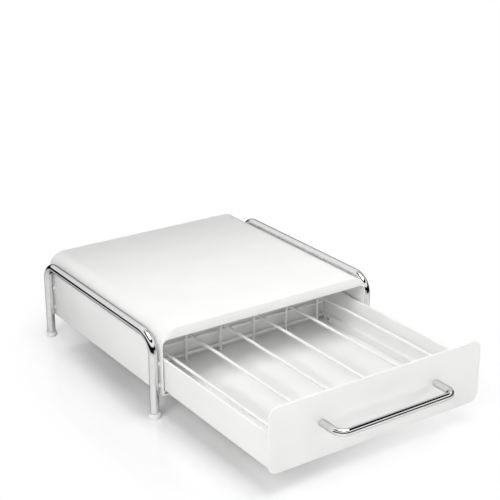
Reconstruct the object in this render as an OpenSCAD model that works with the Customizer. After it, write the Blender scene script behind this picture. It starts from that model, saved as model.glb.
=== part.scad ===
/* [Cabinet] */
// Width over the side walls
cab_w = 330; // [300:1:380]
// Depth from the front lip to the back
cab_d = 324; // [290:1:380]
// Height of the platform above the floor
cab_h = 124; // [112:1:150]
// Thickness of the cabinet sheet
cab_t = 1.2; // [0.8:0.1:1.6]
// Outside radius of the two bends along the top
bend_r = 24; // [14:1:32]
// Height of the lip under the front edge of the top
lip_h = 15; // [9:1:24]
// Depth of the fold behind the lip
lip_fold = 9; // [4:1:16]
// Radius of the upper corners of the drawer opening
opening_r = 8; // [3:1:14]
// Height of the side walls' lower edge above the floor
wall_z = 32; // [24:1:44]
// Width of the flange round the back
back_flange = 12; // [9:1:18]

/* [Runners] */
// Depth of the runner channels, from the wall inwards
runner_w = 8; // [7:0.5:12]
// Height of the runner channels
runner_h = 6; // [5.4:0.2:9]
// Length of the slip pads at the front of the runners
pad_l = 38; // [20:1:44]
// Thickness of the slip pads
pad_t = 1.8; // [1.2:0.1:3]
// Setback of the slip pads from the front
pad_y = 6; // [2:0.5:12]
// Gap between the slip pads and the stop blocks
pad_end_gap = 3.5; // [1:0.5:10]
// Length of the stop blocks in the runners
stop_l = 12; // [8:1:20]
// Length of the drawer's rear guides
guide_l = 24; // [16:1:32]
// Gap between the rear guides and the drawer's rear end
guide_end = 1.7; // [0.5:0.1:6]

/* [Side frames] */
// Diameter of the bent tube
tube_d = 12; // [10:0.5:14]
// Wall of the tube
tube_t = 1; // [0.8:0.1:1.6]
// Centreline radius of the tube bends
tube_bend = 25; // [18:1:34]
// Gap between tube and cabinet wall, filled by the spacers
tube_gap = 2.5; // [2:0.5:8]
// Drop from the platform to the rail's centreline
rail_drop = 10; // [6:0.5:16]
// Setback of the front legs' centreline
leg_front = 8; // [8:0.5:20]
// Setback of the rear legs' centreline from the back
leg_rear = 13; // [10:0.5:24]
// Diameter of the plastic feet
foot_d = 16; // [15.5:0.5:20]
// Height of the plastic feet
foot_h = 7.5; // [6:0.5:14]
// Thickness of the feet's floor
foot_floor = 2.5; // [2:0.1:4]

/* [Drawer] */
// Thickness of the drawer sheet
tub_t = 1; // [0.8:0.1:1.4]
// Gap between drawer side and cabinet wall
side_gap = 2; // [1.4:0.1:3]
// Width over each double-skinned side
side_w = 3.5; // [3:0.1:6]
// Outside radius of the folds along the drawer sides
fold_r = 1.2; // [0.5:0.1:1.4]
// Height of the drawer sides above their ledge
side_h = 42.5; // [36:0.5:48]
// Depth of the floor pan sunk between the runners
sink = 10; // [6:0.5:12]
// Gap between the shut drawer and the back panel
rear_gap = 8.9; // [7:0.1:20]
// Height of the flat hem on the drawer's rear wall
hem_h = 8; // [4:0.5:14]

/* [Front panel and handle] */
// Thickness of the front panel
panel_t = 2.5; // [2.3:0.1:4]
// Inset of the panel's ends from the cabinet walls
panel_inset = 2; // [0:0.5:6]
// Drop of the panel below the cabinet walls
panel_drop = 3; // [2.5:0.5:8]
// Lap of the panel over the lip
panel_lap = 6; // [6:0.5:9]
// Corner radius of the panel
panel_r = 13; // [4:1:20]
// Diameter of the handle rod
rod_d = 9; // [8:0.5:12]
// Distance between the handle's legs
handle_span = 176; // [96:1:224]
// Drop from the drawer sides' upper edge to the handle's centreline
handle_drop = 6.5; // [5.5:0.5:28]
// Distance from panel face to the handle's centreline
handle_out = 35.2; // [26:0.2:50]
// Centreline radius of the handle bends
handle_bend = 13; // [8:0.5:18]
// Inset of the front panel screws from the sides of the floor pan
front_screw_in = 13; // [8:0.5:30]
// Height of the lower front panel screws above the drawer floor
front_screw_up = 14; // [8:0.5:18]
// Drop of the upper front panel screws below the drawer sides' edge
front_screw_drop = 15; // [8:0.5:20]
// Diameter of the bumpers behind the panel
bumper_d = 5; // [4:0.5:5.5]
// Thickness of the bumpers behind the panel
bumper_t = 1; // [0.6:0.1:2]

/* [Pod rack] */
// Distance between neighbouring rods, one row of pods wide
pod_pitch = 56; // [50:0.5:64]
// Diameter of the rack wire
wire_d = 4; // [3:0.2:5]
// Height of the rods' centreline above the drawer floor
wire_up = 41.4; // [36:0.2:44]
// Centreline radius of the wire bends
wire_bend = 8; // [6:0.5:14]
// Gap between the rack and the drawer's end walls
rack_gap = 3.2; // [2.8:0.1:5]
// Height of the lower cross wires above the drawer floor
low_cross = 7; // [3:0.5:12]
// Height of the upper cross wires above the drawer floor
high_cross = 27; // [18:0.5:29]

/* [Fasteners] */
// Shank diameter of the side frame screws
frame_screw_d = 4; // [3:0.5:5]
// Head diameter of the side frame screws
frame_head_d = 7; // [6:0.5:9]
// Head thickness of the side frame screws
frame_head_t = 1; // [0.8:0.1:1]
// Height of the lower frame screws above the wall's edge
screw_low = 13; // [12:0.5:20]
// Distance between the two screws of a leg
screw_step = 30; // [16:1:36]
// Diameter of the spacers between tube and wall
spacer_d = 7; // [6.5:0.5:9]
// Shank diameter of the back panel screws
back_screw_d = 3.5; // [3:0.5:4]
// Length of the back panel screws under the head
back_screw_l = 6; // [4:0.5:6]
// Shank diameter of the handle screws
handle_screw_d = 4; // [3:0.5:5]
// Length of the handle screws' thread in the legs
handle_grip = 12; // [8:1:16]
// Shank diameter of the front panel screws
front_screw_d = 3; // [2.5:0.5:4]
// Shank diameter of the guide screws
guide_screw_d = 2; // [1.6:0.2:2.2]

/* [Fits] */
// Running clearance of the drawer on its runners
run_gap = 0.3; // [0.2:0.05:0.5]
// Gap left at the stops
stop_gap = 0.3; // [0.2:0.1:1]
// Gap between the rack's cross wires and the sides of the floor pan
rack_side = 1; // [0.5:0.1:3]
// Radial clearance of screws and pegs in tapped or snap holes
snug = 0.05; // [0.02:0.01:0.1]
// Radial clearance of screws in plain holes
clear = 0.2; // [0.1:0.05:0.25]

/* [Hidden] */
$fn = 96;
over = 1;

enamel = "#f4f4f2";
chrome = "#c9ccd0";
nylon = "#f7f6ef";
zinc = "#b8bbbf";
clear_vinyl = "#e6e9ea";

// cabinet
wall_in = cab_w / 2 - cab_t;
opening_top = cab_h - lip_h;
back_y = cab_d - 2 * cab_t;
back_fit = 0.2;

// runners and the parts that ride on them
runner_top = wall_z + runner_h;
runner_in = wall_in - runner_w;
pad_inset = 0.8;
peg_d = 3;
peg_under = 0.6;
slot_low = wall_z + cab_t;
slot_top = runner_top - cab_t;

// drawer, at rest pulled out to its stop
ledge_z = runner_top + pad_t + run_gap;
floor_z = ledge_z - sink;
floor_top = floor_z + tub_t;
side_top = ledge_z + side_h;
tub_out = wall_in - side_gap;
tub_in = tub_out - side_w;
guide_web = 1.5;
edge_gap = 0.5;
pan_out = runner_in - edge_gap - guide_web;
pan_in = pan_out - tub_t;
tub_l = back_y + bumper_t + stop_gap - rear_gap;
stop_y = pad_y + pad_l + pad_end_gap;
guide_y = stop_y + stop_l + stop_gap;
tub_end = guide_y + guide_l + guide_end;
open_y = tub_end - tub_l;
inner_front_y = open_y + tub_t;
inner_back_y = tub_end - tub_t;

// rear guides
guide_head_t = 1;
guide_grip = 5;
guide_tip = pan_out + guide_grip;

// front panel and handle
panel_half = cab_w / 2 - panel_inset;
panel_low = wall_z - panel_drop;
panel_top = opening_top + panel_lap;
panel_face = open_y - panel_t;
handle_z = side_top - handle_drop;
handle_y = panel_face - handle_out;
bumper_x = 0.73 * panel_half;
front_screw_x = pan_in - front_screw_in;
front_screw_low = floor_top + front_screw_up;
front_screw_high = side_top - front_screw_drop;
front_tap = 1.7;
front_head_t = 1.6;
handle_head_t = 2.6;

// rack
rack_reach = pan_in - rack_side;
row_room = 2 * (rack_reach - wire_d / 2);
columns = floor(row_room / pod_pitch);
rod_z = floor_top + wire_up;
cross_front = inner_front_y + rack_gap + wire_d / 2;
cross_back = inner_back_y - rack_gap - wire_d / 2;
weld = 0.3;
leg_in = wire_d - weld;
leg_wire_front = cross_front + leg_in;
leg_wire_back = cross_back - leg_in;
rack_half = columns * pod_pitch / 2;

// side frames
tube_x = cab_w / 2 + tube_gap + tube_d / 2;
rail_z = cab_h - rail_drop;
front_leg_y = leg_front;
rear_leg_y = cab_d - leg_rear;
screw_zs = [wall_z + screw_low, wall_z + screw_low + screw_step];
screw_ys = [front_leg_y, rear_leg_y];
tap_depth = 3;
foot_rim = 0.5;

// the origin is under the middle of the whole object with its drawer out
back_head_t = 1.6;
back_head_r = 3.5;
reach_front = -(handle_y - rod_d / 2);
reach_back = cab_d + back_head_t;
origin_y = (reach_front - reach_back) / 2;

module about_origin() {
    translate([0, origin_y, 0]) children();
}

// extrudes an outline drawn in X and Z from y0 to y1
module along_y(y0, y1) {
    translate([0, y1, 0]) rotate([90, 0, 0]) linear_extrude(y1 - y0) children();
}

// outline with a flat foot and two rounded upper corners
module arch(half, z0, z1, r) {
    translate([-half, z0]) square([2 * half, z1 - r - z0]);
    translate([r - half, z0]) square([2 * (half - r), z1 - z0]);
    for (s = [-1, 1]) translate([s * (half - r), z1 - r]) circle(r);
}

// outline with four rounded corners
module slab(half, z0, z1, r) {
    translate([-half, z0 + r]) square([2 * half, z1 - z0 - 2 * r]);
    translate([r - half, z0]) square([2 * (half - r), z1 - z0]);
    for (s = [-1, 1], z = [z0 + r, z1 - r]) translate([s * (half - r), z]) circle(r);
}

// block between two corners
module block(a, b) {
    translate(a) cube(b - a);
}

module rod_x(x0, x1, d) {
    translate([x0, 0, 0]) rotate([0, 90, 0]) cylinder(d = d, h = x1 - x0);
}

module rod_y(y0, y1, d) {
    translate([0, y1, 0]) rotate([90, 0, 0]) cylinder(d = d, h = y1 - y0);
}

// the pieces below are drawn for the right-hand side and mirrored for the left
module left() {
    mirror([1, 0, 0]) children();
}

module at_frame_screws() {
    for (y = screw_ys, z = screw_zs) translate([0, y, z]) children();
}

// ---- cabinet ----

module back_screw_places() {
    x_side = cab_w / 2 - back_flange / 2;
    for (s = [-1, 1], z = screw_zs) translate([s * x_side, 0, z + back_flange / 2]) children();
    for (s = [-1, 1]) translate([s * cab_w / 4, 0, cab_h - back_flange / 2]) children();
}

module top_shell() {
    fold_half = wall_in - opening_r;
    color(enamel) about_origin() {
        difference() {
            along_y(0, cab_d) arch(cab_w / 2, wall_z, cab_h, bend_r);
            along_y(cab_t, cab_d - cab_t) arch(wall_in, wall_z - over, cab_h - cab_t, bend_r - cab_t);
            along_y(-over, cab_t + over) arch(wall_in, wall_z - over, opening_top, opening_r);
            along_y(cab_d - cab_t - over, cab_d + over)
                arch(cab_w / 2 - back_flange, wall_z - over, cab_h - back_flange, opening_r);
            for (s = [-1, 1]) scale([s, 1, 1])
                at_frame_screws() rod_x(wall_in - over, cab_w / 2 + over, frame_screw_d + 2 * clear);
            back_screw_places() rod_y(cab_d - cab_t - over, cab_d + over, back_screw_d + 2 * clear);
        }
        block([-fold_half, cab_t / 2, opening_top], [fold_half, lip_fold, opening_top + cab_t]);
    }
}

module back_panel() {
    half = wall_in - back_fit;
    fold_half = runner_in - edge_gap;
    color(enamel) about_origin() difference() {
        union() {
            along_y(back_y, back_y + cab_t)
                arch(half, wall_z, cab_h - cab_t - back_fit, bend_r - cab_t - back_fit);
            block([-fold_half, back_y + cab_t / 2 - back_flange / 2, wall_z],
                [fold_half, back_y + cab_t / 2, wall_z + cab_t]);
        }
        back_screw_places() rod_y(back_y - over, cab_d, back_screw_d + 2 * snug);
    }
}

module back_screws() {
    color(zinc) about_origin() back_screw_places() {
        rod_y(cab_d - back_screw_l, cab_d + back_head_t / 2, back_screw_d);
        translate([0, cab_d, 0]) rotate([-90, 0, 0]) pan_head(back_head_r, back_head_t);
    }
}

// domed screw head that stands on the XY plane
module pan_head(r, h) {
    fillet = 0.45 * h;
    rotate_extrude() {
        square([r - fillet, h]);
        square([r, h - fillet]);
        translate([r - fillet, h - fillet]) intersection() {
            circle(fillet, $fn = 32);
            square(fillet);
        }
    }
}

module runner() {
    about_origin() difference() {
        block([runner_in, 0, wall_z], [wall_in, back_y, runner_top]);
        block([runner_in - over, -over, slot_low], [wall_in - cab_t, back_y + over, slot_top]);
        translate([(runner_in + wall_in) / 2, pad_y + pad_l / 2, 0])
            cylinder(d = peg_d + 2 * snug, h = runner_top + over);
        translate([(runner_in + wall_in) / 2, stop_y + stop_l / 2, 0])
            cylinder(d = peg_d + 2 * snug, h = slot_low + over);
    }
}

module runner_left() {
    color(enamel) left() runner();
}

module runner_right() {
    color(enamel) runner();
}

// slip pad with sloped ends and a peg that snaps into the runner
module slip_pad() {
    ramp = pad_t;
    about_origin() {
        translate([runner_in + pad_inset, 0, 0]) rotate([90, 0, 90])
            linear_extrude(runner_w - 2 * pad_inset) polygon([
                [pad_y, runner_top], [pad_y + pad_l, runner_top],
                [pad_y + pad_l, runner_top + pad_t / 2], [pad_y + pad_l - ramp, runner_top + pad_t],
                [pad_y + ramp, runner_top + pad_t], [pad_y, runner_top + pad_t / 2]]);
        translate([(runner_in + wall_in) / 2, pad_y + pad_l / 2, slot_top - peg_under])
            cylinder(d = peg_d, h = cab_t + peg_under + pad_t / 2);
    }
}

module slip_pad_left() {
    color(nylon) left() slip_pad();
}

module slip_pad_right() {
    color(nylon) slip_pad();
}

module stop_block() {
    about_origin() {
        block([runner_in, stop_y, slot_low], [wall_in - cab_t, stop_y + stop_l, slot_top]);
        translate([(runner_in + wall_in) / 2, stop_y + stop_l / 2, wall_z - peg_under])
            cylinder(d = peg_d, h = cab_t + peg_under + over);
    }
}

module stop_block_left() {
    color(nylon) left() stop_block();
}

module stop_block_right() {
    color(nylon) stop_block();
}

// one bent run of the side frame, solid, with diameter d
module frame_run(d) {
    span = rear_leg_y - front_leg_y;
    translate([tube_x, 0, 0]) {
        for (y = screw_ys) translate([0, y, foot_floor])
            cylinder(d = d, h = rail_z - tube_bend - foot_floor);
        translate([0, 0, rail_z]) rod_y(front_leg_y + tube_bend, rear_leg_y - tube_bend, d);
        translate([0, front_leg_y + tube_bend, rail_z - tube_bend]) rotate([90, 0, -90])
            rotate_extrude(angle = 90) translate([tube_bend, 0]) circle(d = d);
        translate([0, rear_leg_y - tube_bend, rail_z - tube_bend]) rotate([90, 0, 90])
            rotate_extrude(angle = 90) translate([tube_bend, 0]) circle(d = d);
    }
}

module tube_frame() {
    about_origin() difference() {
        frame_run(tube_d);
        frame_run(tube_d - 2 * tube_t);
        at_frame_screws() rod_x(cab_w / 2, tube_x, frame_screw_d + 2 * snug);
    }
}

module tube_frame_left() {
    color(chrome) left() tube_frame();
}

module tube_frame_right() {
    color(chrome) tube_frame();
}

// saddle-ended spacers between the wall and the legs
module spacers() {
    about_origin() difference() {
        at_frame_screws() rod_x(cab_w / 2, tube_x - tube_d / 4, spacer_d);
        at_frame_screws() rod_x(cab_w / 2 - over, tube_x, frame_screw_d + 2 * clear);
        translate([tube_x, 0, 0]) for (y = screw_ys) translate([0, y, 0])
            cylinder(d = tube_d + 2 * snug, h = cab_h);
    }
}

module spacers_left() {
    color(clear_vinyl) left() spacers();
}

module spacers_right() {
    color(clear_vinyl) spacers();
}

module frame_screws() {
    about_origin() at_frame_screws() {
        rod_x(wall_in - frame_head_t / 2, cab_w / 2 + tube_gap + tube_t + tap_depth, frame_screw_d);
        rod_x(wall_in - frame_head_t, wall_in, frame_head_d);
    }
}

module frame_screws_left() {
    color(zinc) left() frame_screws();
}

module frame_screws_right() {
    color(zinc) frame_screws();
}

// plastic cup pushed over the end of a leg
module foot(y) {
    edge = foot_floor - foot_rim;
    about_origin() translate([tube_x, y, 0]) difference() {
        rotate_extrude() {
            square([foot_d / 2 - edge, foot_h]);
            translate([0, edge]) square([foot_d / 2, foot_h - edge]);
            translate([foot_d / 2 - edge, edge]) intersection() {
                circle(edge, $fn = 48);
                translate([0, -edge]) square(edge);
            }
        }
        translate([0, 0, foot_floor]) cylinder(d = tube_d + 2 * snug, h = foot_h);
    }
}

module foot_front_left() {
    color(clear_vinyl) left() foot(front_leg_y);
}

module foot_front_right() {
    color(clear_vinyl) foot(front_leg_y);
}

module foot_rear_left() {
    color(clear_vinyl) left() foot(rear_leg_y);
}

module foot_rear_right() {
    color(clear_vinyl) foot(rear_leg_y);
}

// ---- drawer ----

module at_guide_screws() {
    for (s = [-1, 1], f = [0.25, 0.75])
        scale([s, 1, 1]) translate([0, guide_y + f * guide_l, (slot_low + slot_top) / 2]) children();
}

// folded sides with a ledge over each runner and a floor pan between the runners
module drawer_tub() {
    color(enamel) about_origin() difference() {
        along_y(open_y, tub_end) {
            for (s = [-1, 1]) translate([s * (tub_out - side_w / 2), 0])
                arch(side_w / 2, ledge_z, side_top, fold_r);
            translate([-tub_out, ledge_z]) square([2 * tub_out, tub_t]);
            translate([-pan_out, floor_z]) square([2 * pan_out, sink + tub_t]);
        }
        along_y(open_y - over, tub_end + over) {
            translate([-pan_in, floor_top]) square([2 * pan_in, sink + tub_t]);
            for (s = [-1, 1]) scale([s, 1]) translate([tub_in + tub_t, ledge_z + tub_t])
                square([side_w - 2 * tub_t, side_h - 2 * tub_t]);
        }
        at_guide_screws() rod_x(pan_in - over, pan_out + over, guide_screw_d + 2 * clear);
    }
}

// sheet that closes one end of the tub
module end_outline() {
    translate([-tub_in, ledge_z + tub_t]) square([2 * tub_in, side_h - tub_t]);
    translate([-pan_in, floor_top]) square([2 * pan_in, sink + tub_t]);
}

module at_handle_screws() {
    for (s = [-1, 1]) translate([s * handle_span / 2, 0, handle_z]) children();
}

module at_front_screws() {
    for (s = [-1, 1], z = [front_screw_low, front_screw_high])
        translate([s * front_screw_x, 0, z]) children();
}

module drawer_inner_front() {
    color(enamel) about_origin() difference() {
        along_y(open_y, inner_front_y) end_outline();
        at_handle_screws() rod_y(open_y - over, inner_front_y + over, handle_screw_d + 2 * clear);
        at_front_screws() rod_y(open_y - over, inner_front_y + over, front_screw_d + 2 * clear);
    }
}

module drawer_back() {
    color(enamel) about_origin() {
        along_y(inner_back_y, tub_end) end_outline();
        block([-tub_in, inner_back_y - tub_t, side_top - hem_h], [tub_in, tub_end, side_top]);
    }
}

module drawer_front() {
    color(enamel) about_origin() difference() {
        along_y(panel_face, open_y) slab(panel_half, panel_low, panel_top, panel_r);
        at_handle_screws() rod_y(panel_face - over, open_y + over, handle_screw_d + 2 * clear);
        at_front_screws() rod_y(open_y - front_tap, open_y + over, front_screw_d + 2 * snug);
    }
}

module front_screws() {
    color(zinc) about_origin() at_front_screws() {
        rod_y(open_y - front_tap, inner_front_y + front_head_t / 2, front_screw_d);
        translate([0, inner_front_y, 0]) rotate([-90, 0, 0]) pan_head(front_screw_d, front_head_t);
    }
}

// round rod bent to a bow, with tapped leg ends
module handle() {
    leg_x = handle_span / 2;
    color(chrome) about_origin() difference() {
        translate([0, 0, handle_z]) {
            for (s = [-1, 1]) translate([s * leg_x, 0, 0])
                rod_y(handle_y + handle_bend, panel_face, rod_d);
            translate([0, handle_y, 0]) rod_x(handle_bend - leg_x, leg_x - handle_bend, rod_d);
            translate([leg_x - handle_bend, handle_y + handle_bend, 0]) rotate([0, 0, -90])
                rotate_extrude(angle = 90) translate([handle_bend, 0]) circle(d = rod_d);
            translate([handle_bend - leg_x, handle_y + handle_bend, 0]) rotate([0, 0, 180])
                rotate_extrude(angle = 90) translate([handle_bend, 0]) circle(d = rod_d);
        }
        at_handle_screws() rod_y(panel_face - handle_grip - over, panel_face + over,
            handle_screw_d + 2 * snug);
    }
}

module handle_screws() {
    color(zinc) about_origin() at_handle_screws() {
        rod_y(panel_face - handle_grip, inner_front_y + handle_head_t / 2, handle_screw_d);
        translate([0, inner_front_y, 0]) rotate([-90, 0, 0]) pan_head(handle_screw_d, handle_head_t);
    }
}

module bumpers() {
    color(clear_vinyl) about_origin()
        for (s = [-1, 1]) translate([s * bumper_x, 0, opening_top + panel_lap / 2])
            rod_y(open_y, open_y + bumper_t, bumper_d);
}

// one rod of the rack, bent down into a leg at both ends
module rack_rod() {
    for (y = [leg_wire_front, leg_wire_back]) translate([0, y, floor_top])
        cylinder(d = wire_d, h = wire_up - wire_bend);
    translate([0, 0, rod_z]) rod_y(leg_wire_front + wire_bend, leg_wire_back - wire_bend, wire_d);
    translate([0, leg_wire_front + wire_bend, rod_z - wire_bend]) rotate([90, 0, -90])
        rotate_extrude(angle = 90) translate([wire_bend, 0]) circle(d = wire_d);
    translate([0, leg_wire_back - wire_bend, rod_z - wire_bend]) rotate([90, 0, 90])
        rotate_extrude(angle = 90) translate([wire_bend, 0]) circle(d = wire_d);
}

// lift-out rack of bent rods welded to four cross wires
module pod_rack() {
    color(enamel) about_origin() {
        for (i = [0:columns]) translate([i * pod_pitch - rack_half, 0, 0]) rack_rod();
        for (y = [cross_front, cross_back], up = [low_cross, high_cross])
            translate([0, y, floor_top + up]) rod_x(-rack_reach, rack_reach, wire_d);
    }
}

// nylon guide that grips the upper edge of the runner and meets the stop block
module rear_guide() {
    in_slot = wall_in - cab_t - edge_gap;
    about_origin() difference() {
        block([pan_out, guide_y, slot_low + run_gap], [in_slot, guide_y + guide_l, ledge_z]);
        block([runner_in - edge_gap, guide_y - over, slot_top - run_gap],
            [wall_in, guide_y + guide_l + over, runner_top + run_gap]);
        for (f = [0.25, 0.75])
            translate([0, guide_y + f * guide_l, (slot_low + slot_top) / 2])
                rod_x(pan_out - over, guide_tip + over, guide_screw_d + 2 * snug);
    }
}

module rear_guide_left() {
    color(nylon) left() rear_guide();
}

module rear_guide_right() {
    color(nylon) rear_guide();
}

module guide_screws() {
    color(zinc) about_origin() at_guide_screws() {
        rod_x(pan_in - guide_head_t / 2, guide_tip, guide_screw_d);
        translate([pan_in, 0, 0]) rotate([0, -90, 0]) pan_head(guide_screw_d, guide_head_t);
    }
}

top_shell();
back_panel();
back_screws();
runner_left();
runner_right();
slip_pad_left();
slip_pad_right();
stop_block_left();
stop_block_right();
tube_frame_left();
tube_frame_right();
spacers_left();
spacers_right();
frame_screws_left();
frame_screws_right();
foot_front_left();
foot_front_right();
foot_rear_left();
foot_rear_right();
drawer_tub();
drawer_inner_front();
drawer_back();
drawer_front();
front_screws();
handle();
handle_screws();
bumpers();
pod_rack();
rear_guide_left();
rear_guide_right();
guide_screws();
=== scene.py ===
from math import pi, radians

import bmesh
import bpy
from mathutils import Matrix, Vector


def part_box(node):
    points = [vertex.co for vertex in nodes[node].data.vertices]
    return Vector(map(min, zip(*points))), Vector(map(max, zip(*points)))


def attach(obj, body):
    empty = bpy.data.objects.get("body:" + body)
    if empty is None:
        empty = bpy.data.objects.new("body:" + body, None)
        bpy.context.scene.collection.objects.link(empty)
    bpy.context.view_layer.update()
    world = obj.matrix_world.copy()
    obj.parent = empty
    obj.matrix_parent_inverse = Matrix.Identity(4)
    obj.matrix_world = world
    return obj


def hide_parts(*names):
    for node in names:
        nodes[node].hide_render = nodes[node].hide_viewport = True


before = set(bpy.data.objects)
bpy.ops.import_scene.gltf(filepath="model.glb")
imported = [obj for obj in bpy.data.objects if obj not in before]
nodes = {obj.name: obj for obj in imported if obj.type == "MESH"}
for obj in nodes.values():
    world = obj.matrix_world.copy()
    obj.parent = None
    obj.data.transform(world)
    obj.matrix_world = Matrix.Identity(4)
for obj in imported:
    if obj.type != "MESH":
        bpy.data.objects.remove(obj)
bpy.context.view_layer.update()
MM = 0.001
WHITE = (1, 1, 1, 1)
SIDES = ("left", "right")

# ---------------------------------------------------------------------------
# Camera: a long lens from the front left, looking down on the open drawer.
# Its place is measured from the middle of the case's front edge, in metres.
# ---------------------------------------------------------------------------
CAMERA_LEFT, CAMERA_AHEAD, CAMERA_UP = 0.86148, 1.21577, 0.77028
LOOK_DOWN, LOOK_RIGHT = 21.0535, 34.3582
SENSOR, LENS = 36, 88.16
front_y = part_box("top_shell")[0].y
camera = bpy.data.objects.new("camera", bpy.data.cameras.new("camera"))
bpy.context.scene.collection.objects.link(camera)
camera.location = (-CAMERA_LEFT, front_y - CAMERA_AHEAD, CAMERA_UP)
camera.rotation_euler = (radians(90 - LOOK_DOWN), 0, radians(-LOOK_RIGHT))
camera.data.sensor_width = SENSOR
camera.data.lens = LENS
bpy.context.scene.camera = camera
bpy.context.scene.view_settings.view_transform = "Standard"


# ---------------------------------------------------------------------------
# Shader tools.
# ---------------------------------------------------------------------------
def linear(hex_colour):
    """sRGB hex to linear RGBA."""
    channels = [int(hex_colour[i:i + 2], 16) / 255 for i in (1, 3, 5)]
    return [c / 12.92 if c <= 0.04045 else ((c + 0.055) / 1.055) ** 2.4 for c in channels] + [1.0]


def add(tree, kind, settings=None, links=None):
    """Adds a node with its settings, and links its inputs to other nodes' outputs."""
    made = tree.nodes.new(kind)
    for key, value in (settings or {}).items():
        if isinstance(key, int) or key in made.inputs:
            made.inputs[key].default_value = value
        else:
            setattr(made, key, value)
    for key, source in (links or {}).items():
        tree.links.new(source, made.inputs[key])
    return made


def ramp(tree, source, stops):
    """Colour ramp over a factor, from a list of (place, grey or colour)."""
    made = add(tree, "ShaderNodeValToRGB", links={"Fac": source})
    elements = made.color_ramp.elements
    while len(elements) < len(stops):
        elements.new(1.0)
    for element, (place, colour) in zip(elements, stops):
        element.position = place
        element.color = colour if isinstance(colour, list) else (colour, colour, colour, 1)
    return made.outputs["Color"]


def remap(tree, source, low, high, to_low=0.0, to_high=1.0, curve="LINEAR"):
    """Maps the range from low to high of a value onto another range, and stops at its ends."""
    settings = {"interpolation_type": curve, "From Min": low, "From Max": high,
                "To Min": to_low, "To Max": to_high}
    return add(tree, "ShaderNodeMapRange", settings, {"Value": source}).outputs[0]


def mixed(tree, factor, first, second):
    """Mix of two shaders: the first where the factor is 0, the second where it is 1."""
    return add(tree, "ShaderNodeMixShader",
               links={0: factor, 1: first.outputs[0], 2: second.outputs[0]})


def new_material(name):
    """Empty material, with its tree and the object's own coordinates."""
    material = bpy.data.materials.new(name)
    material.use_nodes = True
    tree = material.node_tree
    tree.nodes.clear()
    return material, tree, add(tree, "ShaderNodeTexCoord").outputs["Object"]


def noise(tree, place, grain, detail, **settings):
    """Noise with a grain in millimetres."""
    settings.update({"Scale": 1 / (grain * MM), "Detail": detail})
    return add(tree, "ShaderNodeTexNoise", settings, {"Vector": place}).outputs["Fac"]


def tinted(tree, pattern, shade, colour, low=0.3, high=0.7):
    """Two near tones of a colour over a pattern."""
    return ramp(tree, pattern, [(low, linear(shade)), (high, linear(colour))])


def bumped(tree, pattern, strength, depth):
    """Bump from a pattern, with its depth in millimetres."""
    return add(tree, "ShaderNodeBump", {"Strength": strength, "Distance": depth * MM},
               {"Height": pattern}).outputs["Normal"]


def surfaced(tree, settings, links):
    """Principled surface with these settings and links, as the material's output."""
    surface = add(tree, "ShaderNodeBsdfPrincipled", settings, links)
    add(tree, "ShaderNodeOutputMaterial", links={"Surface": surface.outputs[0]})


# ---------------------------------------------------------------------------
# Sky: the light that falls on the object comes from a white band round the
# horizon. Polished pieces see black flags instead, as chrome needs for its
# lines: two in front with white between them, and a low one at the back.
# ---------------------------------------------------------------------------
SKY_LOW, SKY_TOP = -0.2, 1.0
BLACK_CARD = 0.005
ROOM_BANDS = [(0.0, 1.05), (0.44, 1.05), (0.52, 0.05), (1.0, 0.05)]
BACK_BANDS = [(0.0, BLACK_CARD), (0.32, BLACK_CARD), (0.37, 0.95), (1.0, 1.0)]
FRONT_BANDS = [(0.0, BLACK_CARD), (0.45, BLACK_CARD), (0.48, 1.0), (0.7, 1.0),
               (0.73, 2 * BLACK_CARD), (0.9, 2 * BLACK_CARD), (0.94, 0.9), (1.0, 0.9)]
BACK_FLAG_FROM, FRONT_FLAGS_FROM = 0.5, 0.3

world = bpy.data.worlds.new("studio")
bpy.context.scene.world = world
world.use_nodes = True
sky = world.node_tree
sky.nodes.clear()
direction = add(sky, "ShaderNodeTexCoord")
towards = add(sky, "ShaderNodeSeparateXYZ", links={0: direction.outputs["Generated"]})
rise = remap(sky, towards.outputs["Z"], SKY_LOW, SKY_TOP)
ahead = remap(sky, towards.outputs["Y"], BACK_FLAG_FROM, FRONT_FLAGS_FROM)
flags = add(sky, "ShaderNodeMix", {"data_type": "RGBA"},
            {0: ahead, 6: ramp(sky, rise, BACK_BANDS), 7: ramp(sky, rise, FRONT_BANDS)})
rays = add(sky, "ShaderNodeLightPath")
lit = add(sky, "ShaderNodeBackground", links={"Color": ramp(sky, rise, ROOM_BANDS)})
mirrored_room = add(sky, "ShaderNodeBackground", links={"Color": flags.outputs[2]})
seen = add(sky, "ShaderNodeBackground", {"Color": WHITE})
polish = mixed(sky, rays.outputs["Is Glossy Ray"], lit, mirrored_room)
whole_sky = mixed(sky, rays.outputs["Is Camera Ray"], polish, seen)
add(sky, "ShaderNodeOutputWorld", links={"Surface": whole_sky.outputs[0]})


# ---------------------------------------------------------------------------
# Soft boxes: one overhead and one at each side. The two side boxes don't show
# in polished pieces, where they would break the dark lines of the flags.
# ---------------------------------------------------------------------------
OBJECT_MIDDLE = (0.0, 0.0, 0.05)


def soft_box(name, place, size, power, mirrored=True):
    """Square area lamp turned towards the middle of the object."""
    lamp = bpy.data.lights.new(name, "AREA")
    lamp.shape = "SQUARE"
    lamp.size = size
    lamp.energy = power
    holder = bpy.data.objects.new(name, lamp)
    bpy.context.scene.collection.objects.link(holder)
    holder.location = place
    aim = Vector(OBJECT_MIDDLE) - Vector(place)
    holder.rotation_euler = aim.to_track_quat("-Z", "Y").to_euler()
    holder.visible_glossy = mirrored


soft_box("overhead_box", (0.1, -0.45, 2.0), size=1.3, power=24)
soft_box("left_box", (-1.85, -1.0, 1.6), size=1.3, power=29, mirrored=False)
soft_box("right_box", (2.1, -0.6, 1.2), size=1.0, power=17, mirrored=False)


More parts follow.
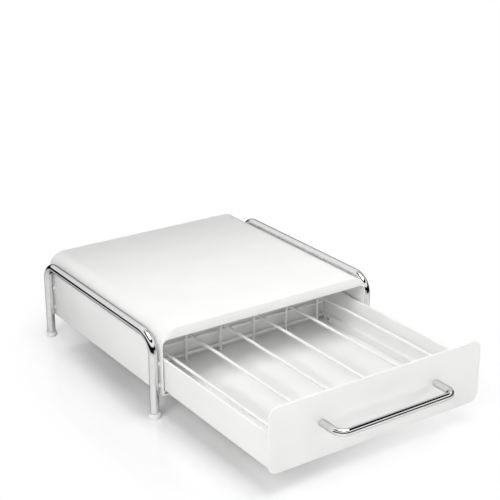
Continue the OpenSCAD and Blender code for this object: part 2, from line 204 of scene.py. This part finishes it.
# ---------------------------------------------------------------------------
# Table: glossy white, and to the camera it fades to plain white outside an
# ellipse round the object and towards the open front. In reflections it ends
# in a dark edge, which gives the legs and rails their lines.
# ---------------------------------------------------------------------------
TABLE_SIZE = 16
SHADE_SQUEEZE = (1.6, 1.0, 1.0)
SHADE_KEPT, SHADE_GONE = 0.28, 0.5
OPEN_TOWARDS = (0.5, -1.0, 0.0)
OPEN_FROM, OPEN_TO, OPEN_SHARE = 0.1, 0.28, 0.7
SHADE_LIFT = 0.04
EDGE_FROM, EDGE_TO = 0.65, 0.8


def clear_selection():
    """Selects nothing."""
    bpy.ops.object.select_all(action="DESELECT")


clear_selection()
bpy.ops.mesh.primitive_plane_add(size=TABLE_SIZE, location=(0, 0, 0))
table = bpy.context.object
table.name = "table_top"
gloss, tree, place = new_material("white_gloss_table")
surface = add(tree, "ShaderNodeBsdfPrincipled",
              {"Base Color": linear("#F3F3F3"), "Roughness": 0.06, "IOR": 1.6})
rays = add(tree, "ShaderNodeLightPath")
squeezed = add(tree, "ShaderNodeVectorMath", {"operation": "MULTIPLY", 1: SHADE_SQUEEZE},
               {0: place})
spread = add(tree, "ShaderNodeVectorMath", {"operation": "LENGTH"}, {0: squeezed.outputs[0]})
far = remap(tree, spread.outputs["Value"], SHADE_KEPT, SHADE_GONE, curve="SMOOTHSTEP")
forward = add(tree, "ShaderNodeVectorMath", {"operation": "DOT_PRODUCT", 1: OPEN_TOWARDS},
              {0: place})
open_floor = remap(tree, forward.outputs["Value"], OPEN_FROM, OPEN_TO, to_high=OPEN_SHARE,
                   curve="SMOOTHSTEP")
paler = add(tree, "ShaderNodeMath", {"operation": "MAXIMUM"}, {0: far, 1: open_floor})
lift = add(tree, "ShaderNodeEmission", {"Color": WHITE, "Strength": SHADE_LIFT})
near = add(tree, "ShaderNodeAddShader", links={0: surface.outputs[0], 1: lift.outputs[0]})
white = add(tree, "ShaderNodeEmission", {"Color": WHITE})
fade = mixed(tree, paler.outputs[0], near, white)
reach = add(tree, "ShaderNodeVectorMath", {"operation": "LENGTH"}, {0: place})
beyond = remap(tree, reach.outputs["Value"], EDGE_FROM, EDGE_TO)
dark = add(tree, "ShaderNodeEmission", {"Color": WHITE, "Strength": BLACK_CARD})
table_edge = mixed(tree, beyond, surface, dark)
mirrored_table = mixed(tree, rays.outputs["Is Glossy Ray"], surface, table_edge)
shown = mixed(tree, rays.outputs["Is Camera Ray"], mirrored_table, fade)
add(tree, "ShaderNodeOutputMaterial", links={"Surface": shown.outputs[0]})
table.data.materials.append(gloss)

# ---------------------------------------------------------------------------
# Modelling tools. Sizes and places are in millimetres of the shared frame. What
# lies closer than TOUCH counts as touching, and cutting blocks reach PAST the
# piece that they cut.
# ---------------------------------------------------------------------------
TOUCH = 0.01
PAST = 40


def box_of(node):
    """Low and high corner of a CAD node."""
    return [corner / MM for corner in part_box(node)]


def only(piece):
    """Selects one piece and makes it the active one."""
    clear_selection()
    piece.select_set(True)
    bpy.context.view_layer.objects.active = piece


def settle():
    """Applies the active piece's place, turn and scale, so that it stands at the origin."""
    bpy.ops.object.transform_apply(location=True, rotation=True, scale=True)


def close():
    """Leaves edit mode."""
    bpy.ops.object.mode_set(mode="OBJECT")


def block(low, high):
    """Cube primitive between two corners."""
    clear_selection()
    middle_point = [(a + b) / 2 * MM for a, b in zip(low, high)]
    bpy.ops.mesh.primitive_cube_add(size=1, location=middle_point)
    piece = bpy.context.object
    piece.scale = [(b - a) * MM for a, b in zip(low, high)]
    settle()
    return piece


def cylinder(radius, height, middle_point, sides):
    """Upright cylinder primitive round its middle."""
    clear_selection()
    bpy.ops.mesh.primitive_cylinder_add(vertices=sides, radius=radius * MM, depth=height * MM,
                                        location=[c * MM for c in middle_point])
    piece = bpy.context.object
    settle()
    return piece


def pick(piece, kind, test):
    """Opens a piece in edit mode with the edges or faces that pass the test selected."""
    only(piece)
    bpy.ops.object.mode_set(mode="EDIT")
    bpy.ops.mesh.select_mode(type=kind)
    bpy.ops.mesh.select_all(action="DESELECT")
    mesh = bmesh.from_edit_mesh(piece.data)
    for item in {"EDGE": mesh.edges, "FACE": mesh.faces}[kind]:
        if test(item):
            item.select_set(True)
    mesh.select_flush_mode()
    bmesh.update_edit_mesh(piece.data)


def middle(edge):
    """Middle of an edge."""
    points = [v.co for v in edge.verts]
    return sum(points, Vector()) / len(points) / MM


def lowest(edge, axis):
    """Lowest coordinate of an edge along an axis."""
    return min(v.co[axis] for v in edge.verts) / MM


def highest(edge, axis):
    """Highest coordinate of an edge along an axis."""
    return max(v.co[axis] for v in edge.verts) / MM


def runs_along_y(edge):
    """Whether an edge runs from the front to the back."""
    line = (edge.verts[1].co - edge.verts[0].co).normalized()
    return abs(line.y) > 0.999


def round_off(piece, test, radius, steps):
    """Bevels the edges that pass the test."""
    pick(piece, "EDGE", test)
    bpy.ops.mesh.bevel(offset=radius * MM, offset_type="OFFSET", segments=steps, profile=0.5,
                       affect="EDGES")
    close()


def apply(piece, kind, **settings):
    """Adds a modifier and applies it."""
    only(piece)
    modifier = piece.modifiers.new(kind.lower(), kind)
    for key, value in settings.items():
        setattr(modifier, key, value)
    bpy.ops.object.modifier_apply(modifier=modifier.name)


def cut(piece, *tools):
    """Takes tool pieces away from a piece, then removes the tools."""
    for tool in tools:
        apply(piece, "BOOLEAN", operation="DIFFERENCE", solver="EXACT", object=tool)
        bpy.data.objects.remove(tool)


def smooth(piece, angle):
    """Smooth shading across edges below an angle in degrees."""
    only(piece)
    bpy.ops.object.shade_smooth_by_angle(angle=radians(angle))


def soften(piece, width, steps=2):
    """Rounds every sharp edge a little, as a coat or a mould does, and smooths the shading."""
    apply(piece, "BEVEL", width=width * MM, segments=steps, limit_method="ANGLE",
          angle_limit=radians(35), use_clamp_overlap=True, miter_outer="MITER_ARC")
    smooth(piece, 30)


def join(*pieces):
    """Joins pieces into the first one."""
    clear_selection()
    for piece in pieces:
        piece.select_set(True)
    bpy.context.view_layer.objects.active = pieces[0]
    bpy.ops.object.join()
    return pieces[0]


def twin_of(piece):
    """A copy with its own mesh."""
    twin = piece.copy()
    twin.data = piece.data.copy()
    bpy.context.scene.collection.objects.link(twin)
    return twin


def mirrored_copy(piece):
    """A copy on the other side of the case, normals outwards."""
    twin = twin_of(piece)
    twin.scale.x = -1
    only(twin)
    settle()
    bpy.ops.object.mode_set(mode="EDIT")
    bpy.ops.mesh.select_all(action="SELECT")
    bpy.ops.mesh.normals_make_consistent(inside=False)
    close()
    return twin


def placed(pattern, places, turn=(0, 0, 0)):
    """Copies of a pattern, turned and moved to each place, joined into one piece."""
    copies = []
    for spot in places:
        twin = twin_of(pattern)
        twin.rotation_euler = turn
        twin.location = [c * MM for c in spot]
        copies.append(twin)
    bpy.data.objects.remove(pattern)
    piece = join(*copies)
    only(piece)
    settle()
    return piece


def arched(low, high, radius, steps):
    """Block whose two upper long edges are rounded, as the case is seen from the front."""
    piece = block(low, high)
    round_off(piece, lambda e: runs_along_y(e) and middle(e).z > high[2] - TOUCH, radius, steps)
    return piece


def fit(piece, name, material, body, slot, *stands_for):
    """Names a finished piece, gives it its material and its body, and says which CAD nodes it
    stands for."""
    piece.name = name
    piece.data.name = name
    piece.data.materials.clear()
    piece.data.materials.append(material)
    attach(piece, body)
    if stands_for:
        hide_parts(*stands_for)


def dress(material, *names):
    """Gives CAD nodes whose shape is right as it is their material."""
    for name in names:
        nodes[name].data.materials.clear()
        nodes[name].data.materials.append(material)


# ---------------------------------------------------------------------------
# Case shell: one steel sheet 1.2 mm thick, folded over the top and both sides
# on a 24 mm radius, with a crescent lip welded in at the front and a flange
# turned in round the back. White powder coat, baked on, covers every edge.
# ---------------------------------------------------------------------------
SHEET = 1.2
TOP_BEND = 24
LIP = 15
LIP_FOLD_FROM, LIP_FOLD_TO = 0.5, 9
OPENING_CORNER = 8
BACK_FLANGE = 12
FRONT_EDGE = 1.5
CUT_EDGE = 0.3
FOLDED_EDGE = 0.4
CLOUD = 60


def coat(name, colour, shade, roughness, peel=2.6, depth=0.014):
    """Powder coat: a faint orange peel, its grain and depth in millimetres, and a cloudiness
    of a few centimetres where the sprayed layer is thicker or thinner."""
    material, tree, place = new_material(name)
    cloud = noise(tree, place, CLOUD, detail=1.0, Roughness=0.4)
    orange_peel = noise(tree, place, peel, detail=2.0, Roughness=0.45)
    surfaced(tree, {"IOR": 1.5}, {
        "Base Color": tinted(tree, cloud, shade, colour),
        "Roughness": remap(tree, cloud, 0.3, 0.7, roughness + 0.02, roughness - 0.02),
        "Normal": bumped(tree, orange_peel, 0.6, depth)})
    return material


enamel = coat("powder_coat_white", "#F3F3F2", "#F0F0EF", 0.34)
shell_low, shell_high = box_of("top_shell")
half_w, case_front, case_back = shell_high.x, shell_low.y, shell_high.y
wall_z, case_top = shell_low.z, shell_high.z
lip_z = case_top - LIP
hollow_half = half_w - SHEET
flange_half = half_w - BACK_FLANGE
shell = arched((-half_w, case_front, wall_z), (half_w, case_back, case_top), TOP_BEND, steps=20)
round_off(shell, lambda e: highest(e, 1) < case_front + TOUCH and middle(e).z > wall_z + TOUCH,
          FRONT_EDGE, steps=5)
cut(shell,
    arched((-hollow_half, case_front + SHEET, wall_z - PAST),
           (hollow_half, case_back - SHEET, case_top - SHEET), TOP_BEND - SHEET, steps=20),
    arched((-hollow_half, case_front - PAST, wall_z - PAST),
           (hollow_half, case_front + 2 * SHEET, lip_z), OPENING_CORNER, steps=10),
    arched((-flange_half, case_back - 2 * SHEET, wall_z - PAST),
           (flange_half, case_back + PAST, case_top - BACK_FLANGE), OPENING_CORNER, steps=10))
soften(shell, CUT_EDGE)
fold_half = hollow_half - OPENING_CORNER
fold = block((-fold_half, case_front + LIP_FOLD_FROM, lip_z),
             (fold_half, case_front + LIP_FOLD_TO, lip_z + SHEET))
soften(fold, FOLDED_EDGE)
shell = join(shell, fold)
fit(shell, "case_shell", enamel, "cabinet", "shell_enamel", "top_shell")


# ---------------------------------------------------------------------------
# Back panel: flat steel sheet in front of the rear flange, with a fold along
# its lower edge. Six pan-head screws with a cross recess hold it, zinc plated.
# ---------------------------------------------------------------------------
BACK_FIT = 0.2
FOLD_INSET = 8.5
FOLD_WELD = 0.6
SCREW_LOW = 13 + BACK_FLANGE / 2
SCREW_STEP = 30
FACE_BACK = (-pi / 2, 0, 0)
DOME = 0.55
RECESS_HALF, RECESS_WIDTH, RECESS_FLOOR = 0.5, 0.11, 0.35
RECESS_TAPER = (0.55, 0.7, 1)
SHANK_POINT = 0.4
INTO_HEAD = 0.2


def zinc_plate(name, colour, shade):
    """Bright zinc plate: bluish, a little uneven, with fine turning marks."""
    material, tree, place = new_material(name)
    spots = noise(tree, place, 1.2, detail=3.0)
    surfaced(tree, {"Metallic": 1.0, "Roughness": 0.28}, {
        "Base Color": tinted(tree, spots, shade, colour),
        "Normal": bumped(tree, spots, 0.3, 0.02)})
    return material


def screw(head_r, head_t, shank_r, shank_l):
    """Pan-head screw that stands on the XY plane with its head up: domed head, cross recess,
    shank. The dome and the recess are shares of the head's radius and thickness."""
    half, width, floor = head_r * RECESS_HALF, head_r * RECESS_WIDTH, head_t * RECESS_FLOOR
    head = cylinder(head_r, head_t, (0, 0, head_t / 2), sides=32)
    round_off(head, lambda e: lowest(e, 2) > head_t - TOUCH, head_t * DOME, steps=5)
    recess = []
    for turn in (0, pi / 2):
        blade = block((-half, -width, floor), (half, width, head_t * 2))
        pick(blade, "FACE", lambda f: f.normal.z < -0.9)
        bpy.ops.transform.resize(value=RECESS_TAPER)
        close()
        blade.rotation_euler.z = turn
        only(blade)
        settle()
        recess.append(blade)
    cut(head, *recess)
    shank = cylinder(shank_r, shank_l, (0, 0, INTO_HEAD - shank_l / 2), sides=24)
    point = INTO_HEAD - shank_l
    round_off(shank, lambda e: highest(e, 2) < point + TOUCH, shank_r * SHANK_POINT, steps=2)
    piece = join(head, shank)
    smooth(piece, 35)
    return piece


zinc = zinc_plate("zinc_plate_bright", "#C9CDD1", "#AEB4BA")
panel_low, panel_high = box_of("back_panel")
back_inner = panel_high.y - SHEET
back = arched((panel_low.x, back_inner, wall_z), panel_high, TOP_BEND - SHEET - BACK_FIT, steps=16)
back_fold = block((panel_low.x + FOLD_INSET, panel_low.y, wall_z),
                  (panel_high.x - FOLD_INSET, back_inner + FOLD_WELD, wall_z + SHEET))
soften(back, FOLDED_EDGE)
soften(back_fold, FOLDED_EDGE)
back = join(back, back_fold)
fit(back, "case_back", enamel, "cabinet", "shell_enamel", "back_panel")

flange_middle = half_w - BACK_FLANGE / 2
back_places = [(s * flange_middle, case_back, wall_z + up)
               for s in (-1, 1) for up in (SCREW_LOW, SCREW_LOW + SCREW_STEP)]
back_places += [(s * half_w / 2, case_back, case_top - BACK_FLANGE / 2) for s in (-1, 1)]
back_screws = placed(screw(head_r=3.5, head_t=1.6, shank_r=1.75, shank_l=6), back_places, FACE_BACK)
fit(back_screws, "back_panel_screws", zinc, "cabinet", "zinc_plate", "back_screws")


# ---------------------------------------------------------------------------
# Runners: steel C channels welded inside the lower edge of each side, coated
# with the case. Slip pads and stop blocks of natural nylon snap into them, and
# the drawer's rear guides are moulded in the same nylon.
# ---------------------------------------------------------------------------
def moulded(name, colour, shade, roughness, grain, inner_light):
    """Moulded plastic: faint flow clouds, a fine mould texture, and a little light inside it."""
    material, tree, place = new_material(name)
    flow = noise(tree, place, 6, detail=2.0, Distortion=0.4)
    texture = noise(tree, place, grain, detail=2.0)
    surfaced(tree, {"Roughness": roughness, "IOR": 1.5, "Subsurface Weight": inner_light,
                    "Subsurface Radius": (2 * MM, 2 * MM, 2 * MM), "Subsurface Scale": 1.0}, {
        "Base Color": tinted(tree, flow, shade, colour, 0.35, 0.65),
        "Normal": bumped(tree, texture, 0.4, 0.02)})
    return material


runner_coat = coat("powder_coat_runner", "#EFEFED", "#EBEBE9", 0.38)
nylon = moulded("nylon_natural", "#F2F0E6", "#EAE7DA", 0.42, grain=0.5, inner_light=0.15)
for side in SIDES:
    dress(runner_coat, "runner_" + side)
    dress(nylon, "slip_pad_" + side, "stop_block_" + side, "rear_guide_" + side)

# ---------------------------------------------------------------------------
# Side frames: 12 mm steel tube, 1 mm wall, cut square, bent twice on a 25 mm
# radius into two legs and a rail, polished and chrome plated.
# ---------------------------------------------------------------------------
TUBE_R = 6
TUBE_WALL = 1
TUBE_BEND = 25


def chrome_plate(name, colour, shade, roughness):
    """Decorative chrome: a polished mirror with the faint long waves that polishing leaves. Its
    edge
    tint is painted shade: it makes the mirror darker where it is seen at a slant, for dark
    outlines."""
    material, tree, place = new_material(name)
    wave = noise(tree, place, 9, detail=2.0, Roughness=0.4)
    # The edge tint #707070 is painted shade: it darkens the reflection where the chrome is seen at
    # a slant, which draws dark lines along the outlines of the tubes and the handle.
    surfaced(tree, {"Metallic": 1.0, "Specular Tint": linear("#707070")}, {
        "Base Color": tinted(tree, wave, shade, colour),
        "Roughness": remap(tree, wave, 0.3, 0.7, roughness, roughness + 0.05),
        "Normal": bumped(tree, wave, 0.04, 0.03)})
    return material


def bent_rod(start, facing, runs, radius, sides, steps):
    """A ring at the start, turned to face along the rod, that is drawn straight and spun round
    bends. Each run is ("straight", (x, y, z)) or ("bend", centre, axis)."""
    clear_selection()
    bpy.ops.mesh.primitive_circle_add(vertices=sides, radius=radius * MM, rotation=facing,
                                      location=[c * MM for c in start])
    piece = bpy.context.object
    settle()
    bpy.ops.object.mode_set(mode="EDIT")
    bpy.ops.mesh.select_mode(type="EDGE")
    bpy.ops.mesh.select_all(action="SELECT")
    for kind, *run in runs:
        if kind == "straight":
            way = [c * MM for c in run[0]]
            bpy.ops.mesh.extrude_edges_move(TRANSFORM_OT_translate={"value": way})
        else:
            centre, axis = run
            bpy.ops.mesh.spin(steps=steps, angle=pi / 2, center=[c * MM for c in centre], axis=axis)
    bpy.ops.mesh.select_all(action="SELECT")
    bpy.ops.mesh.remove_doubles(threshold=TOUCH * MM)
    bpy.ops.mesh.normals_make_consistent(inside=False)
    close()
    return piece


chrome = chrome_plate("chrome_plate_tube", "#E9E9E9", "#E2E2E2", 0.03)
tube_low, tube_high = box_of("tube_frame_right")
tube_x = (tube_low.x + tube_high.x) / 2
leg_front, leg_back = tube_low.y + TUBE_R, tube_high.y - TUBE_R
bend_z = tube_high.z - TUBE_R - TUBE_BEND
leg_run = bend_z - tube_low.z
tube = bent_rod((tube_x, leg_front, tube_low.z), (0, 0, 0), [
    ("straight", (0, 0, leg_run)),
    ("bend", (tube_x, leg_front + TUBE_BEND, bend_z), (1, 0, 0)),
    ("straight", (0, leg_back - leg_front - 2 * TUBE_BEND, 0)),
    ("bend", (tube_x, leg_back - TUBE_BEND, bend_z), (1, 0, 0)),
    ("straight", (0, 0, -leg_run))], TUBE_R, sides=40, steps=14)
apply(tube, "SOLIDIFY", thickness=TUBE_WALL * MM, offset=-1)
smooth(tube, 40)
tube_left = mirrored_copy(tube)
smooth(tube_left, 40)
fit(tube, "side_frame_right", chrome, "cabinet", "tube_chrome", "tube_frame_right")
fit(tube_left, "side_frame_left", chrome, "cabinet", "tube_chrome", "tube_frame_left")

# ---------------------------------------------------------------------------
# Spacers and frame screws: short sleeves of frosted soft plastic keep the tube
# 2.5 mm off the case, and low-head zinc screws from inside run through them.
# ---------------------------------------------------------------------------
clear_plastic = moulded("soft_plastic_frosted", "#F2F2F1", "#E9E9E8", 0.3, grain=0.6,
                        inner_light=0.3)
for side in SIDES:
    dress(clear_plastic, "spacers_" + side)
    dress(zinc, "frame_screws_" + side)

# ---------------------------------------------------------------------------
# Feet: cups of frosted soft plastic pushed over the ends of the tubes, with a
# rounded lower edge, a bead at the mouth and a shallow ring underneath.
# ---------------------------------------------------------------------------
SNUG = 0.05
FOOT_FLOOR = 2.5
RING_WIDTH = 3.6
RING_DEPTH = 0.8
FOOT_EDGE = 1.6
MOUTH_BEAD = 0.8
OUTER_ZONE = 0.5


def on_rim(edge, centre, radius):
    """Whether an edge lies on the outside of an upright cup."""
    return (middle(edge) - centre).xy.length > radius - OUTER_ZONE


for corner in ("front_left", "front_right", "rear_left", "rear_right"):
    low, high = box_of("foot_" + corner)
    centre = (low + high) / 2
    foot_r = (high.x - low.x) / 2
    foot_h = high.z - low.z
    foot = cylinder(foot_r, foot_h, centre, sides=40)
    pick(foot, "FACE", lambda f: f.normal.z > 0.9)
    bpy.ops.mesh.inset(thickness=(foot_r - TUBE_R - SNUG) * MM)
    down = (0, 0, (FOOT_FLOOR - foot_h) * MM)
    bpy.ops.mesh.extrude_region_move(TRANSFORM_OT_translate={"value": down})
    close()
    pick(foot, "FACE", lambda f: f.normal.z < -0.9)
    bpy.ops.mesh.inset(thickness=RING_WIDTH * MM)
    bpy.ops.mesh.extrude_region_move(TRANSFORM_OT_translate={"value": (0, 0, RING_DEPTH * MM)})
    close()
    round_off(foot, lambda e: highest(e, 2) < low.z + TOUCH and on_rim(e, centre, foot_r),
              FOOT_EDGE, steps=5)
    round_off(foot, lambda e: lowest(e, 2) > high.z - TOUCH and on_rim(e, centre, foot_r),
              MOUTH_BEAD, steps=3)
    smooth(foot, 35)
    fit(foot, "foot_cup_" + corner, clear_plastic, "cabinet", "clear_plastic", "foot_" + corner)

# ---------------------------------------------------------------------------
# Drawer tub: 1 mm steel sheet. Each side is folded double, 3.5 mm over both
# skins, on a ledge that rides over the runner, and the floor pan hangs between
# the runners. Its ends are closed by a front sheet and a rear wall with a hem.
# ---------------------------------------------------------------------------
TUB_SHEET = 1.0
SINK = 10
SIDE_EDGE = 1.3

drawer_coat = coat("powder_coat_drawer", "#F3F3F2", "#F0F0EF", 0.36)
tub_low, tub_high = box_of("drawer_tub")
tub_front, tub_back = tub_low.y, tub_high.y
ledge_z = tub_low.z + SINK
side_top = tub_high.z
tub_out = tub_high.x
tub_in = box_of("drawer_inner_front")[1].x
pan_out = box_of("rear_guide_right")[0].x
pan_in = pan_out - TUB_SHEET
cut_front, cut_back = tub_front - PAST, tub_back + PAST
tub = block((-tub_out, tub_front, ledge_z), (tub_out, tub_back, side_top))
pan = block((-pan_out, tub_front, tub_low.z), (pan_out, tub_back, ledge_z + TUB_SHEET))
apply(tub, "BOOLEAN", operation="UNION", solver="EXACT", object=pan)
bpy.data.objects.remove(pan)
cut(tub,
    block((-tub_in, cut_front, ledge_z + TUB_SHEET), (tub_in, cut_back, side_top + PAST)),
    block((-pan_in, cut_front, tub_low.z + TUB_SHEET), (pan_in, cut_back, side_top)))
for s in (-1, 1):
    skins = sorted((s * (tub_in + TUB_SHEET), s * (tub_out - TUB_SHEET)))
    cut(tub, block((skins[0], cut_front, ledge_z + TUB_SHEET),
                   (skins[1], cut_back, side_top - TUB_SHEET)))
round_off(tub, lambda e: runs_along_y(e) and middle(e).z > side_top - TOUCH, SIDE_EDGE, steps=4)
smooth(tub, 30)
fit(tub, "drawer_sides_and_floor", drawer_coat, "drawer", "drawer_enamel", "drawer_tub")
dress(drawer_coat, "drawer_inner_front", "drawer_back")

# ---------------------------------------------------------------------------
# Front panel: 2.5 mm steel plate with corners of 13 mm radius, coated white.
# Four pan-head screws from inside the tub hold it. Two soft dots meet the lip.
# ---------------------------------------------------------------------------
PLATE_CORNER = 13
PLATE_EDGE = 0.6
FRONT_SCREW_IN, FRONT_SCREW_UP, FRONT_SCREW_DROP = 13, 14, 15

front_coat = coat("powder_coat_front", "#F5F5F4", "#F2F2F1", 0.3)
plate = block(*box_of("drawer_front"))
round_off(plate, runs_along_y, PLATE_CORNER, steps=14)
soften(plate, PLATE_EDGE, steps=3)
fit(plate, "front_panel", front_coat, "drawer", "front_enamel", "drawer_front")

inner_front = tub_front + TUB_SHEET
front_heights = (tub_low.z + TUB_SHEET + FRONT_SCREW_UP, side_top - FRONT_SCREW_DROP)
front_places = [(s * (pan_in - FRONT_SCREW_IN), inner_front, z)
                for s in (-1, 1) for z in front_heights]
front_screws = placed(screw(head_r=3.0, head_t=1.6, shank_r=1.5, shank_l=2.7), front_places,
                      FACE_BACK)
fit(front_screws, "front_panel_screws", zinc, "drawer", "zinc_plate", "front_screws")
dots = moulded("soft_plastic_dots", "#E6E6E4", "#DCDCDA", 0.35, grain=0.6, inner_light=0.3)
dress(dots, "bumpers")

# ---------------------------------------------------------------------------
# Handle: 9 mm steel rod bent into a bow and chrome plated. Its ends are tapped
# and drawn flat against the panel by two M4 screws from inside the drawer.
# ---------------------------------------------------------------------------
ROD_R = 4.5
ROD_BEND = 13

handle_chrome = chrome_plate("chrome_plate_handle", "#E9E9E9", "#E2E2E2", 0.03)
handle_low, handle_high = box_of("handle")
stud_x = handle_high.x - ROD_R
bend_x = stud_x - ROD_BEND
bend_y = handle_low.y + ROD_R + ROD_BEND
bar_z = (handle_low.z + handle_high.z) / 2
stud_run = handle_high.y - bend_y
rod = bent_rod((-stud_x, handle_high.y, bar_z), (pi / 2, 0, 0), [
    ("straight", (0, -stud_run, 0)),
    ("bend", (-bend_x, bend_y, bar_z), (0, 0, -1)),
    ("straight", (2 * bend_x, 0, 0)),
    ("bend", (bend_x, bend_y, bar_z), (0, 0, -1)),
    ("straight", (0, stud_run, 0))], ROD_R, sides=36, steps=12)
pick(rod, "EDGE", lambda e: e.is_boundary)
bpy.ops.mesh.edge_face_add()
close()
smooth(rod, 40)
fit(rod, "pull_handle", handle_chrome, "drawer", "handle_chrome", "handle")
handle_places = [(s * stud_x, inner_front, bar_z) for s in (-1, 1)]
handle_screws = placed(screw(head_r=4.0, head_t=2.6, shank_r=2.0, shank_l=15.5), handle_places,
                       FACE_BACK)
fit(handle_screws, "handle_screws_m4", zinc, "drawer", "zinc_plate", "handle_screws")

# ---------------------------------------------------------------------------
# Pod rack: six 4 mm steel rods bent down at both ends, welded to two cross
# wires at each end, then dipped in a thick white coat. It lifts out. A small
# nugget of metal stands in the corners of each weld.
# ---------------------------------------------------------------------------
RACK_WIRE = 4
RACK_RODS = 6
POD_PITCH = 56
CROSS_WIRES = (7, 27)
WELD_DEPTH = 0.3
NUGGET_R = 2.4
NUGGET_FLATNESS = 0.5

dip_coat = coat("dip_coat_white", "#F6F6F4", "#F2F2F0", 0.3, peel=3.5, depth=0.03)
dress(dip_coat, "pod_rack")
rack_low, rack_high = box_of("pod_rack")
weld_in = RACK_WIRE - WELD_DEPTH / 2
weld_places = [((rod_number - (RACK_RODS - 1) / 2) * POD_PITCH, y, rack_low.z + up)
               for rod_number in range(RACK_RODS)
               for y in (rack_low.y + weld_in, rack_high.y - weld_in)
               for up in CROSS_WIRES]
clear_selection()
bpy.ops.mesh.primitive_uv_sphere_add(segments=16, ring_count=10, radius=NUGGET_R * MM,
                                     location=(0, 0, 0))
nugget = bpy.context.object
nugget.scale.y = NUGGET_FLATNESS
settle()
welds = placed(nugget, weld_places)
smooth(welds, 60)
fit(welds, "rack_welds", dip_coat, "drawer", "rack_coating")

# ---------------------------------------------------------------------------
# Guide screws: four small pan-head screws through the sides of the floor pan.
# ---------------------------------------------------------------------------
dress(zinc, "guide_screws")
